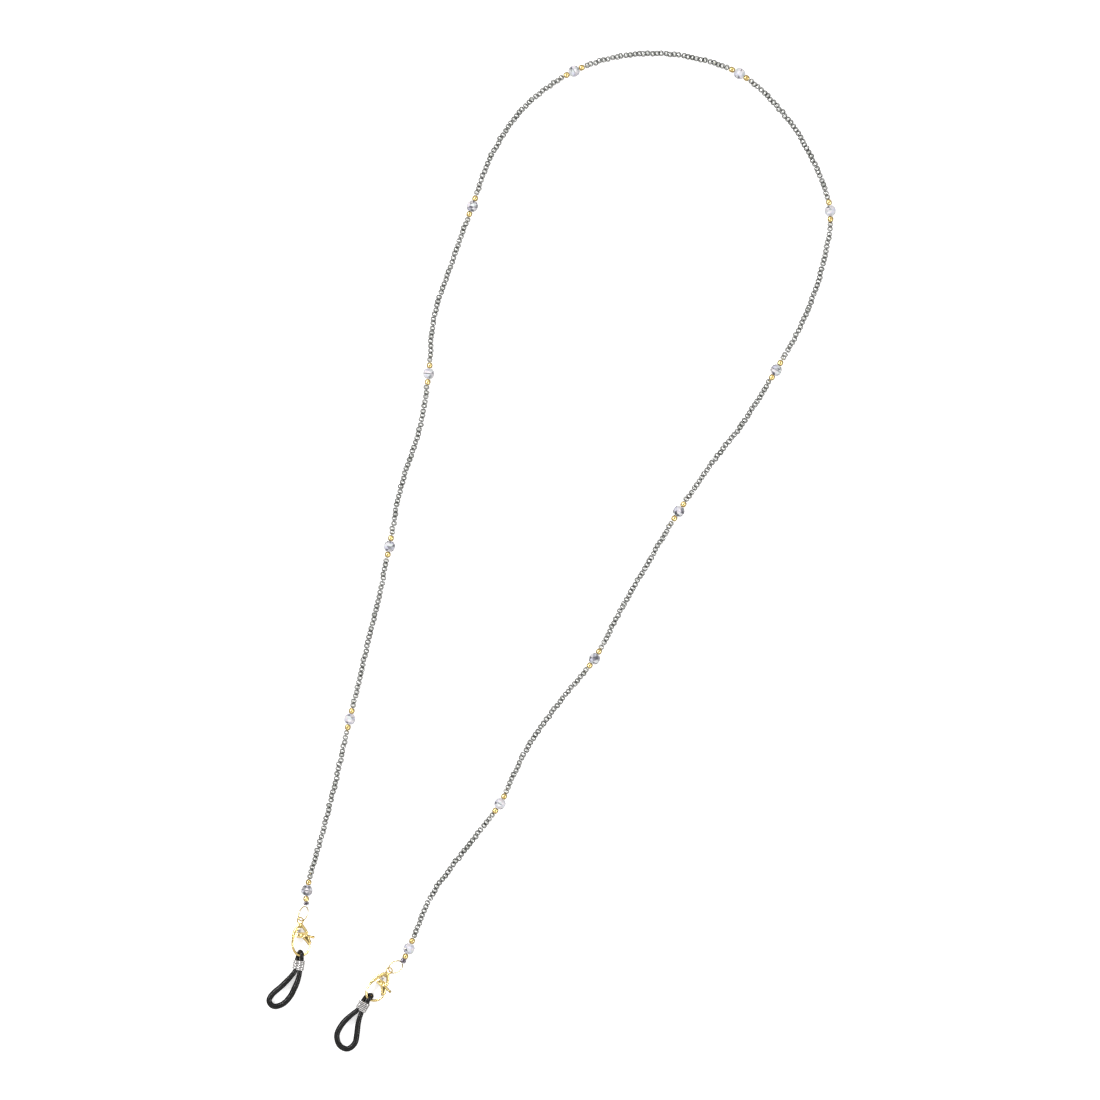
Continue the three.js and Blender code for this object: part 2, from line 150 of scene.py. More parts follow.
class FinishSettings(bpy.types.PropertyGroup):
    """Colours of the finishes."""

    gold: colour("Gold", "Bright plate on clasps and spacers", (0.84, 0.65, 0.28))
    gold_shade: colour("Gold shade", "Deeper tone of the gold plate", (0.60, 0.41, 0.13))
    pale_gold: colour("Pale gold", "Plate on the jump rings", (0.84, 0.68, 0.36))
    nickel: colour("Nickel", "Plate on the coils", (0.86, 0.84, 0.83))
    gunmetal: colour("Gunmetal", "Plate on the crimps", (0.20, 0.18, 0.21))
    rubber: colour("Rubber", "The temple loops", (0.006, 0.006, 0.006))
    glass: colour("Glass", "Seed bead glass", (0.97, 0.98, 0.97))
    glass_shade: colour("Glass shade", "The greyest seed beads", (0.68, 0.70, 0.67))


class StageSettings(bpy.types.PropertyGroup):
    """Camera, floor and lights."""

    over: bpy.props.FloatVectorProperty(
        name="Over", description="Point the camera looks down on", default=(0.0717, 0.1428), size=2
    )
    frame_width: size("Frame width", "Width of floor that the camera sees", 0.3667)
    height: size("Height", "Height of the camera above the floor", 2.2)
    floor: colour("Floor", "Colour of the floor", (0.95, 0.95, 0.95))
    key: bpy.props.FloatProperty(
        name="Key", description="Power of the left softbox", default=11.0, unit="POWER"
    )
    # The floor's colour as reflections and refractions see it: a darker painted tone, giving painted dark
    # reflections in the shiny and clear pieces.
    floor_in_painted_reflections: colour("Mirrored floor", "The floor as the shiny pieces see it", (0.42, 0.41, 0.40))
    glow: bpy.props.FloatProperty(
        name="Glow", description="Light that comes up through the floor sheet", default=0.4, min=0.0
    )
    tent: bpy.props.FloatProperty(name="Tent", description="Brightness of the tent overhead", default=1.15)


# ---- the route
def route_points():
    """The thread's points: its ends on the rings, and the stations with two points between each pair."""
    points = [Vector((*LEFT_END, CLASP_Z))]
    for i, station in enumerate(STATIONS):
        lift = END_LIFT if i in (0, LAST) else 0
        points.append(Vector((*station, STATION_Z + lift)))
        points += [Vector((*p, RUN_Z)) for p in BETWEEN[2 * i : 2 * i + 2]]
    points.append(Vector((*RIGHT_END, CLASP_Z)))
    return points


def bezier_handles(points):
    """Left and right Bezier handles of the centripetal curve through the points."""
    ends = [2 * points[0] - points[1], *points, 2 * points[-1] - points[-2]]
    handles = []
    for before, here, after in zip(ends, ends[1:], ends[2:]):
        gap_in, gap_out = math.sqrt((here - before).length), math.sqrt((after - here).length)
        slope = (
            (here - before) / gap_in - (after - before) / (gap_in + gap_out) + (after - here) / gap_out
        )
        handles.append((here - slope * gap_in / 3, here + slope * gap_out / 3))
    return handles


class Route:
    """The thread's centreline, measured from any station."""

    STEPS = 60

    def __init__(self):
        points = route_points()
        handles = bezier_handles(points)
        line = [points[0]]
        for i in range(len(points) - 1):
            a, b, c, d = points[i], handles[i][1], handles[i + 1][0], points[i + 1]
            for k in range(1, self.STEPS + 1):
                t = k / self.STEPS
                s = 1 - t
                line.append(s**3 * a + 3 * s * s * t * b + 3 * s * t * t * c + t**3 * d)
        self.line = np.array(line)
        steps = np.linalg.norm(np.diff(self.line, axis=0), axis=1)
        self.along = np.concatenate([[0], np.cumsum(steps)])
        self.length = float(self.along[-1])

    def station(self, i):
        """Distance along the thread of a station."""
        return float(self.along[(1 + 3 * i) * self.STEPS])

    def point(self, distance):
        return Vector([np.interp(distance, self.along, self.line[:, k]) for k in range(3)])

    def place(self, distance):
        """The thread's point and direction at a distance along it."""
        reach = 0.1 * MM
        ahead, behind = self.point(distance + reach), self.point(distance - reach)
        return self.point(distance), (ahead - behind).normalized()


ROUTE = Route()


# ---- mesh and node helpers
def node(tree, kind, inputs=None, **settings):
    """Adds a node, sets its properties, and feeds its inputs from sockets or with plain values."""
    made = tree.nodes.new(kind)
    for name, value in settings.items():
        setattr(made, name, value)
    for key, value in (inputs or {}).items():
        if isinstance(value, bpy.types.NodeSocket):
            tree.links.new(value, made.inputs[key])
        else:
            made.inputs[key].default_value = value
    return made


def maths(tree, operation, first, second):
    return node(tree, "ShaderNodeMath", {0: first, 1: second}, operation=operation).outputs[0]


def stretched(tree, value, span, onto=(0.0, 1.0), **settings):
    """A value carried from one span of numbers onto another."""
    ends = {"From Min": span[0], "From Max": span[1], "To Min": onto[0], "To Max": onto[1]}
    return node(tree, "ShaderNodeMapRange", {"Value": value, **ends}, **settings).outputs[0]


def blended(tree, share, first, second):
    """A colour between two."""
    return node(tree, "ShaderNodeMix", {0: share, 6: first, 7: second}, data_type="RGBA").outputs[2]


def new_group(name, kind, inputs, outputs):
    """A node group with named sockets. Returns the tree and the sockets of its input node."""
    tree = bpy.data.node_groups.new(name, kind + "NodeTree")
    for label, (socket, default) in inputs.items():
        made = tree.interface.new_socket(label, in_out="INPUT", socket_type="NodeSocket" + socket)
        if default is not None:
            made.default_value = default
    for label, socket in outputs.items():
        tree.interface.new_socket(label, in_out="OUTPUT", socket_type="NodeSocket" + socket)
    return tree, tree.nodes.new("NodeGroupInput").outputs


MADE = {}


def shared(maker):
    """A node tree or material that is made once and used again."""
    if maker not in MADE:
        MADE[maker] = maker()
    return MADE[maker]


def new_piece(name, data):
    piece = bpy.data.objects.new(name, data)
    bpy.context.scene.collection.objects.link(piece)
    return piece


def mesh_from(name, points, faces=(), edges=()):
    mesh = bpy.data.meshes.new(name)
    mesh.from_pydata([tuple(p) for p in points], edges, faces)
    mesh.update()
    return mesh


def baked_piece(name, source, tree=None, values=None):
    """Runs a node tree, or the modifiers already there, on an object and keeps the result as a mesh."""
    if tree is not None:
        modifier = source.modifiers.new(tree.name, "NODES")
        modifier.node_group = tree
        for item in tree.interface.items_tree:
            if item.item_type == "SOCKET" and item.in_out == "INPUT" and item.name in values:
                modifier[item.identifier] = values[item.name]
    bpy.context.view_layer.update()
    evaluated = source.evaluated_get(bpy.context.evaluated_depsgraph_get())
    mesh = bpy.data.meshes.new_from_object(evaluated)
    mesh.name = name
    bpy.data.objects.remove(source)
    return new_piece(name, mesh)


def shaded_smooth(mesh):
    mesh.polygons.foreach_set("use_smooth", [True] * len(mesh.polygons))
    return mesh


def turned(profile, sides):
    """Points and faces of a ring-shaped solid: a closed profile of (radius, height) turned about Z."""
    points, count = [], len(profile)
    for i in range(sides):
        angle = 2 * math.pi * i / sides
        points += [Vector((r * math.cos(angle), r * math.sin(angle), h)) for r, h in profile]
    faces = []
    for i in range(sides):
        here, there = i * count, (i + 1) % sides * count
        for k in range(count):
            n = (k + 1) % count
            faces.append((here + k, there + k, there + n, here + n))
    return points, faces


def circle(middle, radius, first, second, angles):
    """Points round a middle, in the plane of two directions."""
    return [middle + radius * (math.cos(a) * first + math.sin(a) * second) for a in angles]


def along_thread(direction):
    """The turn that lays a piece's own Z along the thread, with its Y up."""
    across = direction.cross(UP).normalized()
    return Matrix((across, direction.cross(across), direction)).transposed().to_4x4()


def strung(mesh, distance):
    """Lays a mesh on the thread."""
    point, direction = ROUTE.place(distance)
    mesh.transform(Matrix.Translation(point) @ along_thread(direction))
    return mesh


def finish_piece(piece, body, material=None, nodes=()):
    """Gives a piece its material, its body and the frame nodes that it stands for."""
    if material is not None and not piece.data.materials:
        piece.data.materials.append(material)
    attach(piece, body)
    if nodes:
        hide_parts(*nodes)
    return piece


def clasp_frame(side):
    """A clasp's own frame: origin in its eye, +X towards the hook, +Y towards the trigger."""
    eye = Vector(JOINTS[f"{side}_clasp_swing"]["pos_m"])
    pin = Vector(JOINTS[f"{side}_clasp_trigger_press"]["pos_m"])
    heading = math.atan2(pin.y - eye.y, pin.x - eye.x) - PIVOT_TURN
    return Matrix.Translation(eye) @ Matrix.Rotation(heading, 4, "Z")


def loop_frame(side):
    """A rubber loop's own frame: origin on the floor below the hook, +X towards the loop's far end."""
    hook = Vector(JOINTS[f"{side}_loop_swing"]["pos_m"])
    axis = JOINTS[f"{side}_coil_slide"]["axis"]
    turn = Matrix.Rotation(math.atan2(axis[1], axis[0]), 4, "Z")
    return Matrix.Translation((hook.x, hook.y, 0)) @ turn


# ---- geometry node trees
def made_real(tree, geometry, material):
    real = node(tree, "GeometryNodeRealizeInstances", {0: geometry})
    inputs = {"Geometry": real.outputs[0], "Material": material}
    return node(tree, "GeometryNodeSetMaterial", inputs).outputs[0]


def bead_tree():
    """Puts a bead on every place, lined up with the thread there, each a little different."""
    inputs = {
        "Places": ("Geometry", None), "Bead": ("Object", None), "Lean": ("Float", 0.1),
        "Wander": ("Float", 0.0), "Size variation": ("Float", 0.0), "Seed": ("Int", 7),
        "Material": ("Material", None), "Lining": ("Material", None),
    }  # fmt: skip
    tree, at = new_group("Beads on a thread", "Geometry", inputs, {"Beads": "Geometry"})
    seed = [maths(tree, "ADD", at["Seed"], float(k)) for k in range(4)]

    def negative(socket):
        return maths(tree, "MULTIPLY", socket, -1.0)

    def random_vector(side, z, low_z, seed_socket):
        low = node(tree, "ShaderNodeCombineXYZ", {0: negative(side), 1: negative(side), 2: low_z})
        high = node(tree, "ShaderNodeCombineXYZ", {0: side, 1: side, 2: z})
        inputs = {0: low.outputs[0], 1: high.outputs[0], 8: seed_socket}
        return node(tree, "FunctionNodeRandomValue", inputs, data_type="FLOAT_VECTOR").outputs[0]

    wander = random_vector(at["Wander"], 0.0, 0.0, seed[0])
    moved = node(tree, "GeometryNodeSetPosition", {"Geometry": at["Places"], "Offset": wander})
    direction = node(
        tree, "GeometryNodeInputNamedAttribute", {"Name": "direction"}, data_type="FLOAT_VECTOR"
    )
    lined_up = node(tree, "FunctionNodeAlignRotationToVector", {"Vector": direction.outputs[0]}, axis="Z")
    tip = random_vector(at["Lean"], 2 * math.pi, 0.0, seed[1])
    tipped = node(tree, "FunctionNodeEulerToRotation", {0: tip})
    inputs = {0: lined_up.outputs[0], 1: tipped.outputs[0]}
    turn = node(tree, "FunctionNodeRotateRotation", inputs, rotation_space="LOCAL")
    vary = at["Size variation"]
    grown = random_vector(vary, 0.0, negative(vary), seed[2])
    scale = node(tree, "ShaderNodeVectorMath", {0: grown, 1: (1.0, 1.0, 1.0)}, operation="ADD")
    bead = node(tree, "GeometryNodeObjectInfo", {"Object": at["Bead"]})
    inputs = {
        "Points": moved.outputs[0], "Instance": bead.outputs["Geometry"],
        "Rotation": turn.outputs[0], "Scale": scale.outputs[0],
    }  # fmt: skip
    placed = node(tree, "GeometryNodeInstanceOnPoints", inputs)
    tone = node(tree, "FunctionNodeRandomValue", {2: 0.0, 3: 1.0, 8: seed[3]}, data_type="FLOAT")
    inputs = {"Geometry": placed.outputs[0], "Name": "tone", "Value": tone.outputs[1]}
    kinds = {"domain": "INSTANCE", "data_type": "FLOAT"}
    stored = node(tree, "GeometryNodeStoreNamedAttribute", inputs, **kinds)
    coloured = made_real(tree, stored.outputs[0], at["Material"])
    inside = node(tree, "GeometryNodeInputNamedAttribute", {"Name": "lining"}, data_type="BOOLEAN")
    inputs = {"Geometry": coloured, "Selection": inside.outputs[0], "Material": at["Lining"]}
    lined = node(tree, "GeometryNodeSetMaterial", inputs)
    node(tree, "NodeGroupOutput", {0: lined.outputs[0]})
    return tree


def wire_tree():
    """Sweeps a round wire along a path."""
    inputs = {
        "Path": ("Geometry", None), "Wire radius": ("Float", 0.0002), "Sides": ("Int", 12),
        "Material": ("Material", None),
    }  # fmt: skip
    tree, at = new_group("Wire along a path", "Geometry", inputs, {"Wire": "Geometry"})
    path = node(tree, "GeometryNodeMeshToCurve", {0: at["Path"]})
    inputs = {"Resolution": at["Sides"], "Radius": at["Wire radius"]}
    section = node(tree, "GeometryNodeCurvePrimitiveCircle", inputs)
    inputs = {"Curve": path.outputs[0], "Profile Curve": section.outputs[0], "Fill Caps": True}
    swept = node(tree, "GeometryNodeCurveToMesh", inputs)
    smooth = node(tree, "GeometryNodeSetShadeSmooth", {"Geometry": swept.outputs[0]})
    node(tree, "NodeGroupOutput", {0: made_real(tree, smooth.outputs[0], at["Material"])})
    return tree


def beads_on_thread(name, distances, bead_mesh, material, lean, wander, variation, seed, lining=None):
    """One piece of many beads, at distances along the thread."""
    places = [ROUTE.place(d) for d in distances]
    source = new_piece(name + "_places", mesh_from(name + "_places", [p for p, _ in places]))
    direction = source.data.attributes.new("direction", "FLOAT_VECTOR", "POINT")
    direction.data.foreach_set("vector", [x for _, d in places for x in d])
    bead = new_piece(name + "_bead", bead_mesh)
    values = {
        "Bead": bead, "Lean": lean, "Wander": wander, "Size variation": variation, "Seed": seed,
        "Material": material, "Lining": lining or material,
    }  # fmt: skip
    piece = baked_piece(name, source, shared(bead_tree), values)
    bpy.data.objects.remove(bead)
    return piece


def wire_piece(name, path, radius, material, sides=12, closed=False):
    """A wire along a list of points."""
    count = len(path)
    edges = [(i, (i + 1) % count) for i in range(count if closed else count - 1)]
    source = new_piece(name + "_path", mesh_from(name + "_path", path, edges=edges))
    values = {"Wire radius": radius, "Sides": sides, "Material": material}
    return baked_piece(name, source, shared(wire_tree), values)


# ---- shader node groups
def polish_group():
    """Fine polishing marks and a soft unevenness, for plated metal and rubber alike."""
    inputs = {
        "Vector": ("Vector", None), "Scale": ("Float", 2000.0),
        "Smooth": ("Float", 0.1), "Worn": ("Float", 0.3),
    }  # fmt: skip
    tree, at = new_group("Polish marks", "Shader", inputs, {"Roughness": "Float", "Height": "Float"})
    broad = node(tree, "ShaderNodeTexNoise", {"Vector": at["Vector"], "Scale": at["Scale"], "Detail": 3.0})
    drawn_out = node(tree, "ShaderNodeMapping", {"Vector": at["Vector"], "Scale": (6.0, 1.0, 1.0)})
    inputs = {"Vector": drawn_out.outputs[0], "Scale": at["Scale"], "Detail": 4.0, "Roughness": 0.7}
    lines = node(tree, "ShaderNodeTexNoise", inputs).outputs[0]
    rough = stretched(tree, lines, (0.35, 0.7), (at["Smooth"], at["Worn"]))
    node(tree, "NodeGroupOutput", {0: rough, 1: maths(tree, "ADD", broad.outputs[0], lines)})
    return tree


def edge_group():
    """A mask of the edges, where plating is rubbed bright."""
    inputs = {"Vector": ("Vector", None), "Scale": ("Float", 900.0), "Reach": ("Float", 0.54)}
    tree, at = new_group("Rubbed edges", "Shader", inputs, {"Mask": "Float"})
    edge = node(tree, "ShaderNodeNewGeometry").outputs["Pointiness"]
    near = stretched(tree, edge, (at["Reach"], maths(tree, "ADD", at["Reach"], 0.08)))
    patch = node(tree, "ShaderNodeTexNoise", {"Vector": at["Vector"], "Scale": at["Scale"], "Detail": 3.0})
    node(tree, "NodeGroupOutput", {0: maths(tree, "MULTIPLY", near, patch.outputs[0])})
    return tree


def drift_group():
    """Slow drift between two colours over a surface."""
    inputs = {
        "Vector": ("Vector", None), "Scale": ("Float", 400.0),
        "Colour": ("Color", (0.8, 0.8, 0.8, 1)), "Shade": ("Color", (0.4, 0.4, 0.4, 1)),
    }  # fmt: skip
    tree, at = new_group("Colour drift", "Shader", inputs, {"Colour": "Color"})
    cloud = node(tree, "ShaderNodeTexNoise", {"Vector": at["Vector"], "Scale": at["Scale"], "Detail": 3.0})
    share = stretched(tree, cloud.outputs[0], (0.4, 0.75))
    node(tree, "NodeGroupOutput", {0: blended(tree, share, at["Colour"], at["Shade"])})
    return tree


def new_material(name, **plain):
    """A material with its Principled shader, whose plain values are set on its own sockets."""
    material = bpy.data.materials.new(name)
    material.use_nodes = True
    tree = material.node_tree
    shader = tree.nodes["Principled BSDF"]
    for socket, value in plain.items():
        shader.inputs[socket.replace("_", " ")].default_value = value
    where = node(tree, "ShaderNodeTexCoord").outputs["Object"]
    return material, tree, shader, where


def use_group(tree, maker, inputs):
    return node(tree, "ShaderNodeGroup", inputs, node_tree=shared(maker)).outputs


def drifting(tree, where, scale, tone, shade):
    """Two colours drifting over a surface."""
    inputs = {"Vector": where, "Scale": scale, "Colour": tone, "Shade": shade}
    return use_group(tree, drift_group, inputs)["Colour"]


def polished(tree, where, scale, smooth, worn, shader=None):
    """The height of polishing marks, which set the roughness of a shader too."""
    inputs = {"Vector": where, "Scale": scale, "Smooth": smooth, "Worn": worn}
    marks = use_group(tree, polish_group, inputs)
    if shader is not None:
        tree.links.new(marks["Roughness"], shader.inputs["Roughness"])
    return marks["Height"]


def bumped(tree, shader, height, strength, distance):
    bump = node(tree, "ShaderNodeBump", {"Height": height, "Strength": strength, "Distance": distance})
    tree.links.new(bump.outputs[0], shader.inputs["Normal"])


def rgba(value):
    return (*value, 1.0)


# ---- materials
def plated_metal(name, colour_value, shade, bright, smooth, worn, depth, scale=1500.0):
    """Plated metal: colour drift, rubbed edges, polishing marks."""
    material, tree, shader, where = new_material(name, Metallic=1.0)
    drift = drifting(tree, where, 500.0, rgba(colour_value), rgba(shade))
    edge = use_group(tree, edge_group, {"Vector": where})["Mask"]
    tree.links.new(blended(tree, edge, drift, rgba(bright)), shader.inputs["Base Color"])
    bumped(tree, shader, polished(tree, where, scale, smooth, worn, shader), 0.35, depth)
    return material


def metals(look):
    """Each metal's colour, shade, rubbed edge, roughness polished and worn, and depth of its marks."""
    nickel_shade, dark_shade = [0.72 * x for x in look.nickel], [0.5 * x for x in look.gunmetal]
    return {
        "gold_plate": (look.gold, look.gold_shade, (1.0, 0.86, 0.52), 0.05, 0.16, 0.00002),
        "pale_gold_plate": (look.pale_gold, look.gold, (0.98, 0.92, 0.76), 0.08, 0.22, 0.00001),
        "bright_nickel": (look.nickel, nickel_shade, (0.96, 0.96, 0.96), 0.1, 0.28, 0.00001),
        "dark_gunmetal": (look.gunmetal, dark_shade, (0.5, 0.48, 0.5), 0.15, 0.4, 0.00003),
        "plain_spring_wire": ((0.6, 0.6, 0.6), (0.4, 0.4, 0.4), (0.8, 0.8, 0.8), 0.2, 0.45, 0.00001),
        "silver_lining": ((0.95, 0.95, 0.93), (0.6, 0.6, 0.55), (1.0, 1.0, 1.0), 0.15, 0.4, 0.00002, 900.0),
    }


def metal(name):
    """A plated metal, made once and used again."""
    if name not in MADE:
        MADE[name] = plated_metal(name, *metals(bpy.context.scene.strap_finish)[name])
    return MADE[name]


def clear_glass():
    """Clear seed bead glass with a breath of grey that differs from bead to bead, and painted shade that
    darkens its rims.
    """
    look = bpy.context.scene.strap_finish
    material, tree, shader, where = new_material(
        "clear_glass", Transmission_Weight=1.0, IOR=1.5, Coat_Weight=0.2, Coat_Roughness=0.03
    )
    tone = node(tree, "ShaderNodeAttribute", attribute_name="tone").outputs["Fac"]
    shape = maths(tree, "POWER", tone, 3.0)
    per_bead = blended(tree, shape, rgba(look.glass), rgba(look.glass_shade))
    # Painted shade: the glass colour turns dark grey at the rims that face away from the view, standing in
    # for the shade at a bead's edge.
    facing = node(tree, "ShaderNodeLayerWeight", {"Blend": 0.5}).outputs["Facing"]
    painted_rim_shade = stretched(tree, facing, (0.5, 0.95), (0.0, 0.9))
    glass_with_painted_rim_shade = blended(tree, painted_rim_shade, per_bead, (0.12, 0.13, 0.12, 1))
    tree.links.new(glass_with_painted_rim_shade, shader.inputs["Base Color"])
    bumped(tree, shader, polished(tree, where, 900.0, 0.02, 0.14, shader), 0.4, 0.00005)
    return material


def coated_crystal():
    """Cut crystal with a half-mirror coat: each facet has the coat's own colour, or a painted dark
    reflection.
    """
    material, tree, shader, where = new_material(
        "coated_crystal", Metallic=0.38, Transmission_Weight=0.15, IOR=1.55
    )
    # The facet colours carry painted dark reflections as well as the coat's own colours.
    tint_and_painted_reflection = node(tree, "ShaderNodeAttribute", attribute_name="facet_tint_and_painted_reflection").outputs["Color"]
    drift = drifting(tree, where, 700.0, tint_and_painted_reflection, (0.45, 0.46, 0.52, 1))
    tree.links.new(blended(tree, 0.7, drift, tint_and_painted_reflection), shader.inputs["Base Color"])
    polished(tree, where, 1200.0, 0.03, 0.12, shader)
    return material


def glossy_rubber():
    """Black silicone cord with a fine slanting grain."""
    look = bpy.context.scene.strap_finish
    material, tree, shader, where = new_material("glossy_rubber", Specular_IOR_Level=0.28, IOR=1.45)
    grey = [x + 0.006 for x in look.rubber]
    drift = drifting(tree, where, 600.0, rgba(look.rubber), rgba(grey))
    tree.links.new(drift, shader.inputs["Base Color"])
    slant = node(tree, "ShaderNodeMapping", {"Vector": where, "Rotation": (0.0, 0.0, 0.6)})
    inputs = {"Vector": slant.outputs[0], "Scale": 900.0, "Distortion": 3.0, "Detail": 2.0}
    grain = node(tree, "ShaderNodeTexWave", inputs).outputs["Fac"]
    height = maths(tree, "ADD", grain, polished(tree, where, 1600.0, 0.07, 0.2, shader))
    bumped(tree, shader, height, 0.2, 0.00002)
    return material


def beading_thread():
    """Pale twisted nylon."""
    material, tree, shader, where = new_material("beading_thread", Roughness=0.5)
    drift = drifting(tree, where, 3000.0, (0.72, 0.72, 0.70, 1), (0.3, 0.3, 0.3, 1))
    tree.links.new(drift, shader.inputs["Base Color"])
    bumped(tree, shader, polished(tree, where, 4000.0, 0.3, 0.7), 0.5, 0.00003)
    return material


# ---- operators
class STRAP_OT_stage(bpy.types.Operator):
    """Make the camera, the floor and the lights"""

    bl_idname = "strap.stage"
    bl_label = "Stage"

    def execute(self, context):
        stage = context.scene.strap_stage
        camera = new_piece("camera", bpy.data.cameras.new("camera"))
        camera.location = (*stage.over, stage.height)
        camera.data.sensor_width = 36
        camera.data.lens = 36 * stage.height / stage.frame_width
        camera.data.clip_end = 20
        context.scene.camera = camera
        self.floor(stage)
        self.lights(context, stage)
        context.scene.view_settings.view_transform = "Standard"
        return {"FINISHED"}

    def floor(self, stage):
        """One wide flat sheet, with a slight unevenness in its tone, painted darker for every ray but the
        camera's as a painted dark reflection.
        """
        half = 12
        corners = [(-half, -half, 0), (half, -half, 0), (half, half, 0), (-half, half, 0)]
        floor = new_piece("floor", mesh_from("floor", corners, [(0, 1, 2, 3)]))
        material, tree, shader, where = new_material("floor_paper", Roughness=0.9)
        paler = [min(1, x * 1.02) for x in stage.floor]
        drift = drifting(tree, where, 3.0, rgba(stage.floor), rgba(paler))
        # Painted reflection: the camera sees the floor pale, while reflections and refractions in the
        # pieces see it in a much darker painted tone.
        seen = node(tree, "ShaderNodeLightPath").outputs["Is Camera Ray"]
        floor_tone_with_painted_reflections = blended(tree, seen, rgba(stage.floor_in_painted_reflections), drift)
        tree.links.new(floor_tone_with_painted_reflections, shader.inputs["Base Color"])
        shader.inputs["Emission Color"].default_value = (1, 1, 1, 1)
        glow = maths(tree, "MULTIPLY", seen, stage.glow)
        tree.links.new(glow, shader.inputs["Emission Strength"])
        floor.data.materials.append(material)

    def lights(self, context, stage):
        middle = Vector((*stage.over, 0))

        def softbox(name, offset, width, depth, power):
            data = bpy.data.lights.new(name, "AREA")
            data.shape, data.size, data.size_y, data.energy = "RECTANGLE", width, depth, power
            light = new_piece(name, data)
            light.location = middle + Vector(offset)
            light.rotation_euler = Vector(offset).to_track_quat("Z", "Y").to_euler()
            light.visible_camera = False

        softbox("left_softbox", (-0.75, 0.45, 0.9), 1.1, 0.1, stage.key)
        softbox("right_softbox", (0.85, -0.35, 0.75), 0.9, 0.05, 0.4 * stage.key)
        world = bpy.data.worlds.new("studio")
        context.scene.world = world
        world.use_nodes = True
        self.tent(world.node_tree, stage)

    def tent(self, tree, stage):
        """A white tent with an opening at its top, dark at the horizon, and an even pale wall behind."""
        tree.nodes.clear()
        direction = node(tree, "ShaderNodeTexCoord").outputs["Generated"]
        height = node(tree, "ShaderNodeSeparateXYZ", {0: direction}).outputs["Z"]
        eased = {"interpolation_type": "SMOOTHSTEP"}
        bright = stretched(tree, height, (0.15, 0.55), (0.12, stage.tent), **eased)
        opening = stretched(tree, height, (0.93, 0.975), (1.0, 0.2), **eased)
        strength = maths(tree, "MULTIPLY", bright, opening)
        seen = node(tree, "ShaderNodeLightPath").outputs["Is Camera Ray"]
        room = node(tree, "ShaderNodeBackground", {"Color": (1.0, 1.0, 1.0, 1), "Strength": strength})
        wall = node(tree, "ShaderNodeBackground", {"Color": (0.93, 0.93, 0.93, 1), "Strength": 1.0})
        mix = node(tree, "ShaderNodeMixShader", {0: seen, 1: room.outputs[0], 2: wall.outputs[0]})
        node(tree, "ShaderNodeOutputWorld", {0: mix.outputs[0]})


class STRAP_OT_thread(bpy.types.Operator):
    """Make the thread that everything is strung on, with its end loops"""

    bl_idname = "strap.thread"
    bl_label = "Thread"

    def execute(self, context):
        radius = context.scene.strap_strand.thread / 2
        points = route_points()
        for end, inner in ((0, 1), (-1, -2)):
            line = points[inner] - points[end]
            points[end] = points[end] + line * (THREAD_EYE / line.length)
        curve = bpy.data.curves.new("beading_thread", "CURVE")
        curve.dimensions = "3D"
        curve.bevel_depth = radius
        curve.bevel_resolution = 2
        curve.resolution_u = 16
        curve.use_fill_caps = True
        spline = curve.splines.new("BEZIER")
        spline.bezier_points.add(len(points) - 1)
        for knot, point, (left, right) in zip(spline.bezier_points, points, bezier_handles(points)):
            knot.handle_left_type = knot.handle_right_type = "FREE"
            knot.co, knot.handle_left, knot.handle_right = point, left, right
        curve.materials.append(shared(beading_thread))
        thread = new_piece("beading_thread", curve)
        finish_piece(thread, "strand", nodes=["beaded_strand"])
        self.end_loops()
        return {"FINISHED"}

    def end_loops(self):
        """The thread's loop round each ring, in the plane that the thread and the height make."""
        for side, end in zip(SIDES, (LEFT_END, RIGHT_END)):
            middle = Vector((*end, CLASP_Z))
            inner = ROUTE.point(0.002 if side == "left" else ROUTE.length - 0.002)
            along = (inner - middle).normalized()
            angles = np.linspace(0, 2 * math.pi, 24, endpoint=False)
            path = circle(middle, THREAD_EYE, along, UP, angles)
            name = f"{side}_thread_loop"
            loop = wire_piece(name, path, 0.15 * MM, shared(beading_thread), 8, closed=True)
            finish_piece(loop, "strand")


class STRAP_OT_seed_beads(bpy.types.Operator):
    """Make the runs of silver-lined seed beads"""

    bl_idname = "strap.seed_beads"
    bl_label = "Seed beads"

    def execute(self, context):
        strand = context.scene.strap_strand
        radius, half = strand.seed / 2, strand.seed_length / 2
        glass = [
            (0.32 * radius, -0.8 * half), (0.68 * radius, -half), (radius, -0.4 * half),
            (radius, 0.4 * half), (0.68 * radius, half), (0.32 * radius, 0.8 * half),
        ]  # fmt: skip
        silver = [(0.36 * radius, -0.7 * half), (0.54 * radius, 0.0), (0.36 * radius, 0.7 * half)]
        points, faces = turned(glass, 10)
        inner_points, inner_faces = turned(silver, 8)
        shift = len(points)
        inner_faces = [tuple(corner + shift for corner in face) for face in inner_faces]
        bead = shaded_smooth(mesh_from("seed_bead", points + inner_points, faces + inner_faces))
        lining = bead.attributes.new("lining", "BOOLEAN", "FACE")
        lining.data.foreach_set("value", [k >= len(faces) for k in range(len(bead.polygons))])
        distances = []
        for i in range(LAST):
            start = ROUTE.station(i) + RUN_START + half
            stop = ROUTE.station(i + 1) - RUN_START - half
            distances += list(np.linspace(start, stop, strand.beads_per_run))
        outer, inner = shared(clear_glass), metal("silver_lining")
        lie = (strand.lean, strand.wander, 0.05)
        beads = beads_on_thread("seed_beads", distances, bead, outer, *lie, seed=11, lining=inner)
        finish_piece(beads, "strand")
        return {"FINISHED"}


